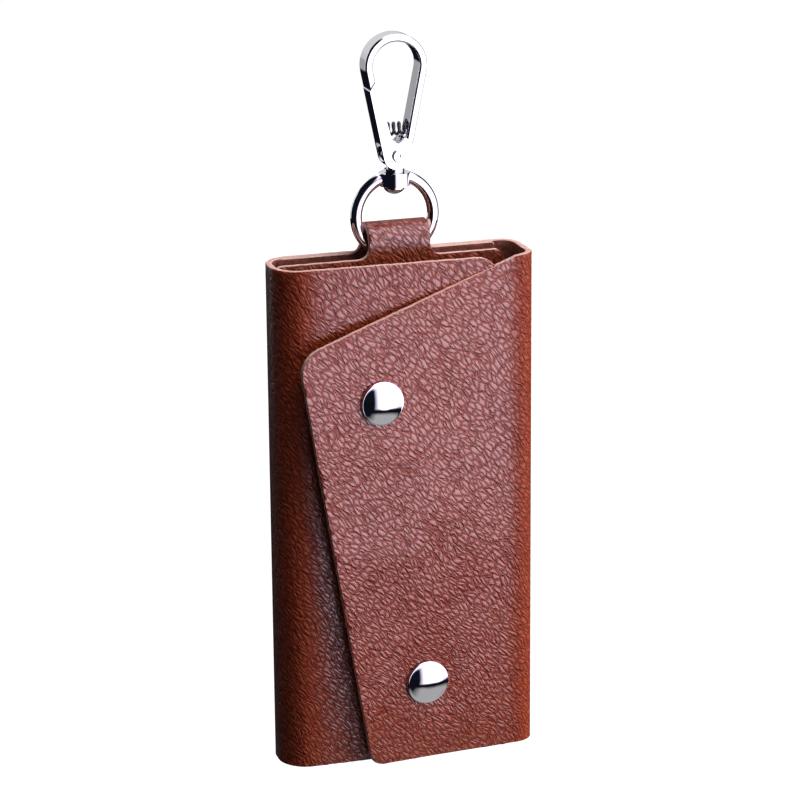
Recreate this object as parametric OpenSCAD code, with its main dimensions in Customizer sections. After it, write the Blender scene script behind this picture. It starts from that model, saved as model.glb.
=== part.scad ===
// Folding leather key case on a swivel trigger snap, hanging as it does from a belt loop.
// +Z is up, +X is to the right seen from the front and the front faces -Y.
// The origin is the top of the opening of the snap hook, where the case hangs.

/* [Case] */
// Width of the closed case
case_w = 59; // [56:1:64]
// Height of the leather case
case_h = 115; // [105:1:125]
// Thickness of the leather
leather_t = 1.4; // [1.3:0.05:1.5]
// Depth of the case at its left fold
left_depth = 14.9; // [14.5:0.1:15.2]
// Depth of the case at its right fold
right_depth = 15.9; // [15.6:0.1:17]
// Outer radius of the left fold's bends
left_bend_r = 6.4; // [5.5:0.1:7]
// Outer radius of the right fold's bends
right_bend_r = 4.5; // [4:0.1:6]

/* [Wing and flap] */
// From the case's right side to the wing's free edge
wing_margin = 8.8; // [8.6:0.1:11]
// Rounding of the wing's free corners
wing_corner_r = 5; // [3:0.5:8]
// Angle at which the wing leans into the case
wing_lean = 1.4; // [1.2:0.1:2]
// From the case's left side to the flap's upper corner
flap_margin = 3.3; // [2.8:0.1:6]
// From the case's left side to the flap's lower corner
flap_foot_margin = 19.1; // [14:0.1:22]
// How far the flap's slanted top edge falls to its free edge
flap_drop = 18.2; // [14:0.1:24]
// Rounding of the flap's upper corner
flap_corner_r = 6; // [3:0.5:9]
// Rounding of the flap's lower corner
flap_foot_r = 3; // [1.5:0.5:6]
// Angle at which the flap stands off the case
flap_flare = 4.3; // [4:0.1:5]

/* [Snaps] */
// Diameter of the snap caps
cap_d = 10; // [8:0.5:11]
// Height of the caps' dome over their rim
cap_dome = 1.5; // [1:0.1:2]
// Height of the caps' rolled rim
cap_rim = 0.7; // [0.5:0.1:1]
// Height of the upper snap over the case's lower edge
upper_snap_z = 84.9; // [75:0.5:88]
// Height of the lower snap over the case's lower edge
lower_snap_z = 18.3; // [14:0.5:30]
// From the flap's slanted edge to the upper snap
upper_snap_inset = 17.1; // [14:0.1:20]
// From the flap's slanted edge to the lower snap
lower_snap_inset = 16.4; // [14:0.1:20]
// Diameter of the stud's ball
stud_d = 3.4; // [3:0.1:3.8]
// Diameter of the socket
socket_d = 7.2; // [6.4:0.1:8]

/* [Inner panel and strap] */
// Width of the strap that loops round the ring
strap_w = 14; // [12:0.2:14.6]
// Half the free depth inside the strap's loop
loop_half = 2.65; // [2.6:0.05:3]
// Height of the loop's centre over the case's upper edge
loop_rise = 3.45; // [3:0.05:5]
// From the start of the right bend to the panel's right end
panel_right_inset = 1; // [0.5:0.1:2]
// Height of the panel below the case's upper edge
panel_h = 29; // [27:0.5:45]
// Radius of the fillets between strap and panel
strap_fillet_r = 2.4; // [1:0.1:3]

/* [Key rack] */
// Pitch of the key hooks
hook_pitch = 7.6; // [7.4:0.1:7.8]
// Height of the rack plate
rack_h = 9; // [8.6:0.2:10]
// Thickness of the rack plate
rack_t = 0.8; // [0.6:0.1:0.9]
// Width of a key hook
key_hook_w = 3.8; // [3.4:0.1:4]
// Length of a key hook below its pin
key_hook_len = 22; // [18:0.5:26]
// Thickness of a key hook
key_hook_t = 0.8; // [0.6:0.1:1]
// Width of the metal round a key hook's opening
key_hook_bar = 0.9; // [0.7:0.05:1]

/* [Snap hook] */
// Outer radius of the hook's head
head_r = 7; // [6.5:0.1:8]
// Width of the hook's bar
hook_bar = 1.7; // [1.5:0.1:2]
// Thickness of the hook, front to back
hook_t = 5; // [4.8:0.1:5.6]
// Rounding of the bar's edges
bar_round = 0.5; // [0.3:0.05:0.7]
// From the centre of the head to the gate's pivot
pivot_drop = 19.7; // [19:0.1:21.5]
// Angle at which the legs close in
leg_tilt = 11.5; // [10.5:0.5:12]
// Length of the nose below the head's arc
nose_len = 3.7; // [3:0.1:4.5]
// How much higher the slanted end of the nose is at its inner side
nose_slant = 1.7; // [1:0.1:2]
// Thickness of the gate's sheet metal
gate_sheet = 0.7; // [0.6:0.05:0.8]
// Diameter of the gate's rivet
gate_pin_d = 1.6; // [1.4:0.1:2]
// Diameter of the gate's rivet heads
gate_pin_head_d = 3; // [2.6:0.1:3.2]

/* [Spring] */
// Outer diameter of the gate spring
spring_d = 3.2; // [2.8:0.1:3.3]
// Diameter of the spring's wire
spring_wire = 0.5; // [0.4:0.05:0.55]
// Turns of the spring
spring_turns = 5; // [4:1:5]

/* [Swivel ring] */
// Radius of the ring's wire centreline
ring_r = 8.8; // [8.6:0.1:10]
// Radius of the ring's wire
ring_wire_r = 1.3; // [1.1:0.05:1.35]
// Diameter of the ring's collar
collar_d = 6.8; // [6.2:0.1:7.2]
// Height of the ring's collar
collar_h = 2.9; // [2.6:0.1:3]
// Diameter of the post that turns in the collar
post_d = 2.6; // [2.2:0.1:3]
// Diameter of the post's peened head
post_head_d = 4.5; // [4:0.1:5]
// Height of the post's peened head
post_head_h = 1.9; // [1.5:0.1:2.2]
// From the gate's pivot to the top of the collar
collar_drop = 4; // [3.8:0.1:4.6]

/* [Hidden] */
$fn = 64;

// Overrun of every cut past the face it cuts
over = 1;
// Radial clearance of a pin that turns in a hole
pin_gap = 0.05;
// Clearance between flat faces that slide past each other
face_gap = 0.06;
// Clearance of the gate's sheet beside the frame
sheet_gap = 0.1;
// Clearance of a rivet's shank in leather
shank_gap = 0.03;
// Gap between the nose and the tip of the gate
tip_gap = 0.15;
// Gap between the strap and the ring's wire that carries it
seat_gap = 0.15;
// Clearance between a stud's ball and the floor of its socket
snap_gap = 0.1;
// Gap between the panel's left end and the inside of the left fold
fold_gap = 0.4;

leather = "#8a4a36";
leather_dark = "#6d3526";
chrome = "#c9ccd0";
steel = "#a9adb2";

// Snap hook: the head is an arc, and both legs run from it at a tangent to the lobe.
head_z = hook_bar - head_r;
pivot_z = head_z - pivot_drop;
lobe_r = head_r - pivot_drop * sin(leg_tilt);
pivot_x_share = 0.1;
pivot_x = lobe_r * pivot_x_share;
leg_top = [head_r * cos(leg_tilt), head_z - head_r * sin(leg_tilt)];
leg_len = pivot_drop * cos(leg_tilt);
step_r = lobe_r + hook_bar * 0.6;
block_t = hook_t - 2 * (gate_sheet + sheet_gap);
collar_top = pivot_z - collar_drop;

// Gate spring, on an axis along X between the gate and a pocket in the spine.
spring_z = pivot_z + lobe_r * 1.82;
pocket_deep = hook_bar * 0.4;
pocket_d = spring_d + 4 * sheet_gap;

// Ring, strap and case, each placed from the piece that carries it.
ring_z = collar_top + collar_h / 2 - sqrt(pow(ring_r, 2) - pow(collar_d / 2, 2)) - collar_h;
ring_bore_r = ring_r - ring_wire_r;
loop_top = ring_z - sqrt(pow(ring_bore_r, 2) - pow(strap_w / 2, 2)) + seat_gap;
loop_z = loop_top - loop_half;
case_top = loop_z - loop_rise;
case_bottom = case_top - case_h;
swing_z = ring_z - sqrt(pow(ring_r, 2) - pow(strap_w / 2, 2));

// Plan of the leather: the rear ply lies on the back panel, behind the loop.
back_in = loop_half + leather_t;
back_out = back_in + leather_t;
left_x = -case_w / 2 + left_bend_r;
right_x = case_w / 2 - right_bend_r;
left_front_c = [left_x, back_out - left_depth + left_bend_r];
right_front_c = [right_x, back_out - right_depth + right_bend_r];
wing_root = left_front_c + left_bend_r * [sin(wing_lean), -cos(wing_lean)];
flap_root = right_front_c + right_bend_r * [sin(flap_flare), -cos(flap_flare)];
wing_len = (case_w / 2 - wing_margin - wing_root[0]) / cos(wing_lean);
flap_len = (flap_root[0] + case_w / 2 - flap_margin) / cos(flap_flare);
flap_foot_len = (flap_root[0] + case_w / 2 - flap_foot_margin) / cos(flap_flare);
flap_corner_z = case_h - flap_drop;

// Inner panel: the front ply stands off at the top and meets the rear ply behind the rack.
panel_right = right_x - panel_right_inset;
ply_straight = leather_t * 1.9;
ply_seat = panel_h * 0.5;
ply_steps = 12;

// Key rack and its fasteners.
rack_front = loop_half - leather_t - rack_t;
rack_w = 5 * hook_pitch + key_hook_w * 1.5;
rack_z = case_top - ply_seat - rack_h / 2 - leather_t / 2;
rack_rivet_z = rack_z + rack_h * 0.24;
hook_pin_z = rack_z - rack_h * 0.24;
rack_rivet_d = 2.4;
rack_rivet_head_d = 4.6;
rack_rivet_head_h = 0.7;
hook_pin_d = 1.5;
hook_pin_head_d = 2.6;
hook_pin_head_h = 0.4;
key_eye_d = key_hook_w + key_hook_bar / 2;
key_hook_y = rack_front - face_gap - key_hook_t;
key_mouth = key_hook_bar * 0.4;

// Snaps.
cap_post_d = 2.6;
socket_floor = 0.3;
socket_share = 0.6;
socket_bore_d = stud_d + 1.1;
stud_flange_d = stud_d + 1.6;
stud_flange_h = 0.2;
stud_neck_d = stud_d - 0.5;
eyelet_d = 7.4;
eyelet_h = 0.5;
eyelet_post_d = 1.8;

// Point on a round corner between the edges that meet at b, with n steps.
function unit(v) = v / norm(v);
function corner(a, b, c, r, n = 10) =
  let (
    u = unit(a - b),
    v = unit(c - b),
    half = acos(u * v) / 2,
    mid = b + unit(u + v) * r / sin(half),
    from = b + u * r / tan(half) - mid,
    to = b + v * r / tan(half) - mid,
    start = atan2(from[1], from[0]),
    turn = atan2(to[1], to[0]) - start,
    sweep = turn > 180 ? turn - 360 : turn < -180 ? turn + 360 : turn
  )
  [for (i = [0:n]) mid + r * [cos(start + sweep * i / n), sin(start + sweep * i / n)]];

// Distance along the flap, from its root, of its slanted free edge at height z.
function flap_edge(z) = flap_foot_len + (flap_len - flap_foot_len) * z / flap_corner_z;

// Rear face of the front ply at a depth below the case's upper edge.
function ply_y(down) =
  let (share = min(1, max(0, (down - ply_straight) / (ply_seat - ply_straight))))
  -loop_half * cos(180 * share);

// Where a leg is: side -1 is the left leg, inset is measured inwards from its outer edge.
function leg_point(side, along, inset) =
  [side * (leg_top[0] - along * sin(leg_tilt) - inset * cos(leg_tilt)),
   leg_top[1] - along * cos(leg_tilt) + inset * sin(leg_tilt)];

// Points of an arc round c from angle a0 to a1, with n steps.
function arc(c, r, a0, a1, n) =
  [for (i = [0:n]) let (a = a0 + (a1 - a0) * i / n) c + r * [cos(a), sin(a)]];

// Tube swept along points: rings stand square to the path.
function path_dir(p, i) = unit(p[min(i + 1, len(p) - 1)] - p[max(i - 1, 0)]);
function ring_points(p, i, r, sides, axis) =
  let (
    d = path_dir(p, i),
    flat = axis - d * (axis * d),
    a = norm(flat) > 0.35 ? unit(flat) : unit(cross(d, p[i] - [p[i][0], 0, spring_z])),
    b = cross(d, a)
  )
  [for (k = [0:sides - 1]) p[i] + r * (cos(360 * k / sides) * a + sin(360 * k / sides) * b)];

module tube(p, r, sides, axis) {
  n = len(p);
  points = [for (i = [0:n - 1]) each ring_points(p, i, r, sides, axis)];
  walls = [
    for (i = [0:n - 2], k = [0:sides - 1])
      let (a = i * sides + k, b = i * sides + (k + 1) % sides)
      each [[a, b + sides, b], [a, a + sides, b + sides]]
  ];
  ends = [
    for (k = [1:sides - 2])
      each [[0, k, k + 1], [(n - 1) * sides, (n - 1) * sides + k + 1, (n - 1) * sides + k]]
  ];
  polyhedron(points, concat(walls, ends), convexity = 6);
}

// Flat shape in the XZ plane, as thick as t and centred on y = 0.
module standing(t) {
  rotate([90, 0, 0]) translate([0, 0, -t / 2]) linear_extrude(t) children();
}

// Cylinder along Y from y0 to y1.
module along_y(d, y0, y1) {
  translate([0, y1, 0]) rotate([90, 0, 0]) cylinder(d = d, h = y1 - y0);
}

// Section of the hook's bar: inwards from its outer edge, then across its thickness.
bar_steps = 3;
bar_side = hook_t / 2;
bar_section = concat(
  corner([hook_bar, -bar_side], [0, -bar_side], [0, bar_side], bar_round, bar_steps),
  corner([0, -bar_side], [0, bar_side], [hook_bar, bar_side], bar_round, bar_steps),
  corner([0, bar_side], [hook_bar, bar_side], [hook_bar, -bar_side], bar_round, bar_steps),
  corner([hook_bar, bar_side], [hook_bar, -bar_side], [0, -bar_side], bar_round, bar_steps)
);
// Stations along the bar, from the nose over the head and down the spine: [outer edge, inward].
head_steps = 30;
nose_cut = leg_point(-1, nose_len - nose_slant, hook_bar) - leg_point(-1, nose_len, 0);
bar_path = concat(
  [[leg_point(-1, nose_len, 0), nose_cut / hook_bar]],
  [
    for (p = arc([0, 0], 1, 180 + leg_tilt, -leg_tilt, head_steps))
      [[0, head_z] + head_r * p, -p]
  ],
  [[leg_point(1, leg_len, 0), [-cos(leg_tilt), sin(leg_tilt)]]]
);

module bar() {
  sides = len(bar_section);
  last = len(bar_path) - 1;
  points = [
    for (s = bar_path, q = bar_section)
      let (p = s[0] + q[0] * s[1]) [p[0], q[1], p[1]]
  ];
  walls = [
    for (i = [0:last - 1], k = [0:sides - 1])
      let (a = i * sides + k, b = i * sides + (k + 1) % sides)
      each [[a, b, b + sides], [a, b + sides, a + sides]]
  ];
  ends = [[for (k = [sides - 1:-1:0]) k], [for (k = [0:sides - 1]) last * sides + k]];
  polyhedron(points, concat(walls, ends), convexity = 6);
}

// The space that the gate's lobe sweeps, cut out of the frame in front and behind.
module lobe_space() {
  cut_t = hook_t / 2 - block_t / 2 + over;
  for (y = [block_t / 2, -block_t / 2 - cut_t])
    translate([pivot_x, y, pivot_z]) along_y(2 * (step_r + sheet_gap), 0, cut_t);
}

module hook_frame() {
  color(chrome) {
    difference() {
      bar();
      lobe_space();
      spring_pocket();
      translate([pivot_x, 0, pivot_z]) along_y(gate_pin_d, -hook_t, hook_t);
    }
    difference() {
      block();
      translate([pivot_x, 0, pivot_z]) along_y(gate_pin_d, -hook_t, hook_t);
      translate([0, 0, head_z]) along_y(2 * (head_r - hook_bar), -hook_t, hook_t);
      spring_pocket();
    }
    translate([0, 0, collar_top + face_gap])
      cylinder(d = post_head_d, h = pivot_z - lobe_r - collar_top - 2 * face_gap);
    translate([0, 0, collar_top + 2 * face_gap])
      cylinder(d = block_t, h = pivot_z - lobe_r * 0.6 - collar_top - 2 * face_gap);
    translate([0, 0, collar_top - collar_h - face_gap])
      cylinder(d = post_d, h = collar_h + 4 * face_gap);
    translate([0, 0, collar_top - collar_h - face_gap]) mirror([0, 0, 1])
      rotate_extrude() peened_head();
  }
}

// Outline of the peened head from its axis: a short wall and a domed end.
module peened_head() {
  wall = post_head_h * 0.4;
  dome = post_head_h - wall;
  r = post_head_d / 2;
  sphere_r = (r * r + dome * dome) / (2 * dome);
  square([r, wall]);
  intersection() {
    translate([0, wall + dome - sphere_r]) circle(sphere_r);
    translate([0, wall]) square([r, dome]);
  }
}

// Round block between the gate's cheeks, joined to the foot of the spine.
module block() {
  r = lobe_r - 3 * sheet_gap;
  translate([0, 0, pivot_z]) along_y(2 * r, -block_t / 2, block_t / 2);
}

module spring_pocket() {
  wall_x = leg_point(1, (leg_top[1] - spring_z) / cos(leg_tilt), hook_bar)[0];
  translate([wall_x - over, 0, spring_z]) rotate([0, 90, 0])
    cylinder(d = pocket_d, h = over + pocket_deep);
}

// Outline of the gate: an arm down the left leg, a notch and a lobe round the pivot.
module gate_outline() {
  top = nose_len + tip_gap;
  notch_z = pivot_z + lobe_r * 0.85;
  notch_side_z = pivot_z + lobe_r * 1.2;
  notch_x = lobe_r * 0.55;
  step_start = acos((notch_x - pivot_x) / step_r);
  step_end = acos((lobe_r - pivot_x * cos(leg_tilt)) / step_r) - leg_tilt;
  polygon(concat(
    [
      leg_point(-1, top, 0), leg_point(-1, top - nose_slant, hook_bar), leg_point(-1, top, hook_bar * 1.1),
      [-lobe_r * 0.38, notch_side_z], [lobe_r * 0.1, notch_z]
    ],
    arc([pivot_x, pivot_z], step_r, step_start, step_end, 6),
    arc([0, pivot_z], lobe_r, -leg_tilt, leg_tilt - 180, 24)
  ));
}

// Room for the spring and the frame's block between the gate's cheeks.
module gate_channel() {
  top = nose_len + tip_gap + hook_bar;
  polygon([
    leg_point(-1, top, gate_sheet), leg_point(-1, top, head_r),
    [head_r, pivot_z + lobe_r], [head_r, pivot_z - head_r], [-head_r, pivot_z - head_r],
    [-head_r, pivot_z + lobe_r * 0.6], leg_point(-1, leg_len - lobe_r * 1.1, gate_sheet)
  ]);
}

module gate() {
  color(chrome) difference() {
    standing(hook_t) gate_outline();
    standing(block_t + 2 * sheet_gap) gate_channel();
    translate([pivot_x, 0, pivot_z]) along_y(gate_pin_d + 2 * pin_gap, -hook_t, hook_t);
  }
}

module gate_pin() {
  head_h = gate_pin_head_d * 0.15;
  face = hook_t / 2 + face_gap;
  color(steel) translate([pivot_x, 0, pivot_z]) {
    along_y(gate_pin_d, -face, face);
    for (side = [0, 1]) mirror([0, side, 0])
      translate([0, -face, 0]) rotate([90, 0, 0]) rotate_extrude() difference() {
        union() {
          square([gate_pin_head_d / 2 - head_h / 2, head_h]);
          square([gate_pin_head_d / 2, head_h / 2]);
        }
        translate([0, head_h / 2]) square([gate_pin_head_d * 0.12, head_h]);
      }
  }
}

// Path of the spring: a helix, and at each end a short straight run along its axis.
spring_r = (spring_d - spring_wire) / 2;
spring_left = -leg_point(1, (leg_top[1] - spring_z) / cos(leg_tilt), gate_sheet)[0] + spring_wire * 0.7;
spring_right = leg_point(1, (leg_top[1] - spring_z) / cos(leg_tilt), hook_bar)[0] + pocket_deep - spring_wire * 0.3;
curl_rings = 8;
spring_stub = spring_wire;
spring_lead = spring_wire * 0.8;
spring_pitch = (spring_right - spring_left - 2 * (spring_stub + spring_lead)) / spring_turns;
spring_last = spring_turns * curl_rings;
function on_spring(x, turn) = [x, spring_r * sin(turn), spring_z + spring_r * cos(turn)];
spring_helix = [
  for (i = [0:spring_last])
    on_spring(spring_left + spring_stub + spring_lead + spring_pitch * i / curl_rings, 360 * i / curl_rings)
];
lead_turn = 14;
spring_path = concat(
  [on_spring(spring_left, -lead_turn), on_spring(spring_left + spring_stub, -lead_turn)],
  spring_helix,
  [on_spring(spring_right - spring_stub, lead_turn), on_spring(spring_right, lead_turn)]
);
spring_gap = min([
  for (i = [0:spring_last - curl_rings + 1], j = [i + curl_rings - 1:spring_last])
    norm(spring_helix[i] - spring_helix[j])
]) - spring_wire;
echo(spring_turns = spring_turns, least_gap_mm = spring_gap);

module gate_spring() {
  color(steel) tube(spring_path, spring_wire / 2, 6, [1, 0, 0]);
}

module swivel_ring() {
  collar_bottom = collar_top - collar_h;
  color(chrome) difference() {
    union() {
      difference() {
        translate([0, 0, ring_z]) rotate([90, 0, 0]) rotate_extrude($fn = 96)
          translate([ring_r, 0]) circle(ring_wire_r, $fn = 32);
        translate([0, 0, collar_bottom - over]) cylinder(d = collar_d * 0.9, h = collar_h + 3 * over);
      }
      translate([0, 0, collar_bottom]) cylinder(d = collar_d, h = collar_h);
    }
    translate([0, 0, collar_bottom - over]) cylinder(d = post_d + 2 * pin_gap, h = collar_h + 2 * over);
  }
}

// Panel and strap seen from the front, with the fillets beside the strap.
module panel_front() {
  half = strap_w / 2;
  reach = half + strap_fillet_r;
  fillet_z = case_top + strap_fillet_r;
  strap_top = loop_z + back_in + over;
  polygon(concat(
    [[-case_w / 2, case_top - panel_h], [panel_right, case_top - panel_h], [panel_right, case_top]],
    arc([reach, fillet_z], strap_fillet_r, 270, 180, 12),
    [[half, strap_top], [-half, strap_top]],
    arc([-reach, fillet_z], strap_fillet_r, 0, -90, 12),
    [[-case_w / 2, case_top]]
  ));
}

// Panel and strap seen from the side: two plies joined below, and the loop over the ring.
module panel_side() {
  downs = [for (i = [0:ply_steps]) ply_straight + (ply_seat - ply_straight) * i / ply_steps];
  difference() {
    polygon(concat(
      arc([0, loop_z], back_in, 0, 180, 24),
      [for (d = downs) [ply_y(d) - leather_t, case_top - d]],
      [[ply_y(panel_h) - leather_t, case_top - panel_h], [back_in, case_top - panel_h]]
    ));
    polygon(concat(arc([0, loop_z], loop_half, 0, 180, 24), [for (d = downs) [ply_y(d), case_top - d]]));
  }
}

// Room for the panel seen from above: its left end nests in the left fold.
module panel_room() {
  start_x = left_x + fold_gap;
  hull() for (y = [back_out - left_bend_r, left_front_c[1]])
    translate([start_x, y]) circle(left_bend_r - leather_t);
  translate([start_x, -back_out]) square([panel_right - left_x, 2 * back_out]);
}

module inner_panel() {
  room_z = case_top - panel_h - over;
  color(leather_dark) difference() {
    intersection() {
      standing(2 * back_out) panel_front();
      translate([-case_w / 2, 0, 0]) rotate([90, 0, 90]) linear_extrude(case_w) panel_side();
      translate([0, 0, room_z]) linear_extrude(loop_top + 2 * back_in - room_z) panel_room();
    }
    rack_rivet_holes();
  }
}

module rack_rivet_holes() {
  for (x = [-hook_pitch, hook_pitch])
    translate([x, 0, rack_rivet_z]) along_y(rack_rivet_d + 2 * shank_gap, -back_out, back_out + over);
}

module back_panel() {
  color(leather) difference() {
    translate([left_x, back_in, case_bottom]) cube([right_x - left_x, leather_t, case_h]);
    rack_rivet_holes();
  }
}

// One bend of the leather: a sector of a tube.
module bend(r, sweep) {
  rotate_extrude(angle = sweep) translate([r - leather_t, 0]) square([leather_t, case_h]);
}

// A fold on the right side: rear bend, side wall and front bend.
module fold(depth, r, front_sweep) {
  translate([0, -r, 0]) bend(r, 90);
  translate([r - leather_t, r - depth, 0]) cube([leather_t, depth - 2 * r, case_h]);
  translate([0, r - depth, 0]) mirror([0, 1, 0]) bend(r, front_sweep);
}

module right_fold() {
  color(leather) translate([right_x, back_out, case_bottom]) fold(right_depth, right_bend_r, 90 - flap_flare);
}

module left_fold() {
  color(leather) translate([left_x, back_out, case_bottom]) mirror([1, 0, 0])
    fold(left_depth, left_bend_r, 90 - wing_lean);
}

// Places a flat piece of leather: x runs from its root, y up the case, z outwards.
module on_wing() {
  translate([wing_root[0], wing_root[1], case_bottom]) rotate([0, 0, wing_lean]) rotate([90, 0, 0]) children();
}

module on_flap() {
  translate([flap_root[0], flap_root[1], case_bottom]) rotate([0, 0, flap_flare])
    mirror([1, 0, 0]) rotate([90, 0, 0]) children();
}

module wing_outline() {
  polygon(concat(
    [[0, 0]],
    corner([0, 0], [wing_len, 0], [wing_len, case_h], wing_corner_r),
    corner([wing_len, 0], [wing_len, case_h], [0, case_h], wing_corner_r),
    [[0, case_h]]
  ));
}

module flap_outline() {
  foot = [flap_foot_len, 0];
  shoulder = [flap_len, flap_corner_z];
  polygon(concat(
    [[0, 0]],
    corner([0, 0], foot, shoulder, flap_foot_r),
    corner(foot, shoulder, [0, case_h], flap_corner_r),
    [[0, case_h]]
  ));
}

// Where each snap is, along the flap and up the case.
upper_at = [flap_edge(upper_snap_z) - upper_snap_inset, upper_snap_z];
lower_at = [flap_edge(lower_snap_z) - lower_snap_inset, lower_snap_z];
// Point on a snap's axis at a depth behind the flap's outer face, from the wing's root.
function snap_point(at, deep) =
  flap_root - at[0] * [cos(flap_flare), sin(flap_flare)]
  + deep * [-sin(flap_flare), cos(flap_flare)] - wing_root;
// Room between the flap and the wing at a snap, which the stud and the socket share.
function snap_room(at) = snap_point(at, leather_t) * [sin(wing_lean), -cos(wing_lean)];
function socket_h(at) = snap_room(at) * socket_share;
function stud_h(at) = snap_room(at) - socket_floor - snap_gap;
// The stud lies on the snap's axis where that meets the end of the socket.
function stud_at(at) =
  [snap_point(at, leather_t + socket_h(at)) * [cos(wing_lean), sin(wing_lean)], at[1]];

module left_wing() {
  color(leather) difference() {
    on_wing() translate([0, 0, -leather_t]) linear_extrude(leather_t) wing_outline();
    for (at = [upper_at, lower_at]) on_wing() translate([stud_at(at)[0], at[1], -leather_t - over])
      cylinder(d = eyelet_post_d + 2 * shank_gap, h = leather_t + 2 * over);
  }
}

module flap() {
  color(leather) difference() {
    on_flap() translate([0, 0, -leather_t]) linear_extrude(leather_t) flap_outline();
    for (at = [upper_at, lower_at]) on_flap() translate([at[0], at[1], -leather_t - over])
      cylinder(d = cap_post_d + 2 * shank_gap, h = leather_t + 2 * over);
  }
}

// Cap: a rolled rim, a dome over it and a post through the flap.
module cap(at) {
  r = cap_d / 2;
  sphere_r = (pow(r - cap_rim / 2, 2) + pow(cap_dome, 2)) / (2 * cap_dome);
  color(chrome) on_flap() translate([at[0], at[1], 0]) {
    rotate_extrude() {
      square([r - cap_rim / 2, cap_rim]);
      translate([r - cap_rim / 2, cap_rim / 2]) circle(cap_rim / 2, $fn = 24);
      intersection() {
        translate([0, cap_rim + cap_dome - sphere_r]) circle(sphere_r, $fn = 128);
        translate([0, cap_rim]) square([r, cap_dome]);
      }
    }
    translate([0, 0, -leather_t]) cylinder(d = cap_post_d, h = leather_t + cap_rim / 2);
  }
}

// Socket: a floor against the flap and a narrower wall round the stud, with a rolled lip.
module socket(at) {
  foot = socket_floor / 2;
  wall_r = socket_d / 2 - foot;
  lip = (wall_r - socket_bore_d / 2) / 2;
  color(steel) on_flap() translate([at[0], at[1], -leather_t]) rotate([180, 0, 0]) {
    cylinder(d = socket_d, h = socket_floor);
    rotate_extrude() polygon(concat(
      [[socket_bore_d / 2, foot], [wall_r, foot]],
      arc([wall_r - lip, socket_h(at) - lip], lip, 0, 180, 12)
    ));
  }
}

// Stud: a flange on the wing, a neck and a ball that the socket grips.
module stud(at) {
  top = stud_h(at);
  ball_r = (stud_d - stud_neck_d) / 2;
  color(steel) on_wing() translate([stud_at(at)[0], at[1], 0]) {
    cylinder(d = stud_flange_d, h = stud_flange_h);
    cylinder(d = stud_neck_d, h = top);
    rotate_extrude() translate([stud_neck_d / 2, top - ball_r]) circle(ball_r, $fn = 24);
  }
}

// Eyelet: a domed disc on the wing's inner face, with a post through to the stud.
module eyelet(at) {
  color(steel) on_wing() translate([stud_at(at)[0], at[1], -leather_t]) {
    cylinder(d = eyelet_post_d, h = leather_t);
    rotate([180, 0, 0]) rotate_extrude() {
      square([eyelet_d / 2 - eyelet_h / 2, eyelet_h]);
      translate([eyelet_d / 2 - eyelet_h / 2, 0]) intersection() {
        circle(eyelet_h, $fn = 32);
        square([eyelet_h / 2, eyelet_h]);
      }
    }
  }
}

// Rack plate with round ends, its rivet holes and its pin holes.
module key_rack() {
  end_r = rack_h / 2;
  color(steel) difference() {
    translate([0, rack_front + rack_t / 2, 0]) standing(rack_t) union() {
      translate([end_r - rack_w / 2, rack_z - rack_h / 2]) square([rack_w - 2 * end_r, rack_h]);
      for (x = [end_r - rack_w / 2, rack_w / 2 - end_r]) translate([x, rack_z]) circle(end_r);
    }
    rack_rivet_holes();
    for (i = [0:5]) translate([hook_x(i), 0, hook_pin_z])
      along_y(hook_pin_d, rack_front - over, rack_front + rack_t + over);
  }
}

function hook_x(i) = (i - 2.5) * hook_pitch;

// Two rivets through rack, inner panel and back panel, with a domed head at the back.
module rack_rivets() {
  r = rack_rivet_head_d / 2;
  sphere_r = (r * r + pow(rack_rivet_head_h, 2)) / (2 * rack_rivet_head_h);
  color(steel) for (x = [-hook_pitch, hook_pitch]) translate([x, 0, rack_rivet_z]) {
    along_y(rack_rivet_d, rack_front - face_gap, back_out + face_gap);
    for (side = [0, 1])
      translate([0, side == 0 ? rack_front : back_out, 0]) rotate([side == 0 ? 90 : -90, 0, 0])
        rotate_extrude() intersection() {
          translate([0, rack_rivet_head_h - sphere_r]) circle(sphere_r, $fn = 96);
          square([r, rack_rivet_head_h]);
        }
  }
}

module key_hook_pins() {
  color(steel) for (i = [0:5]) translate([hook_x(i), 0, hook_pin_z]) {
    along_y(hook_pin_d, key_hook_y - face_gap, rack_front + rack_t);
    along_y(hook_pin_head_d, key_hook_y - face_gap - hook_pin_head_h, key_hook_y - face_gap);
  }
}

// Key hook: an eye on its pin, a shank and a long loop that a spring tongue closes.
module key_hook(i) {
  loop_r = key_hook_w / 2;
  loop_in = loop_r - key_hook_bar;
  loop_up = -key_hook_len * 0.3;
  loop_down = loop_r - key_hook_len;
  color(steel) translate([hook_x(i), key_hook_y + key_hook_t / 2, hook_pin_z]) standing(key_hook_t)
    difference() {
      union() {
        circle(key_eye_d / 2, $fn = 48);
        translate([-key_hook_bar, loop_up]) square([2 * key_hook_bar, -loop_up]);
        translate([-loop_r, loop_down]) square([key_hook_w, loop_up - loop_down]);
        for (z = [loop_up, loop_down]) translate([0, z]) circle(loop_r, $fn = 48);
      }
      circle(hook_pin_d / 2 + pin_gap, $fn = 32);
      translate([-loop_in, loop_down]) square([2 * loop_in, loop_up - loop_down]);
      for (z = [loop_up, loop_down]) translate([0, z]) circle(loop_in, $fn = 32);
      translate([0, loop_up - loop_r]) rotate(-35) square([key_hook_w, key_mouth]);
    }
}

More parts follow.
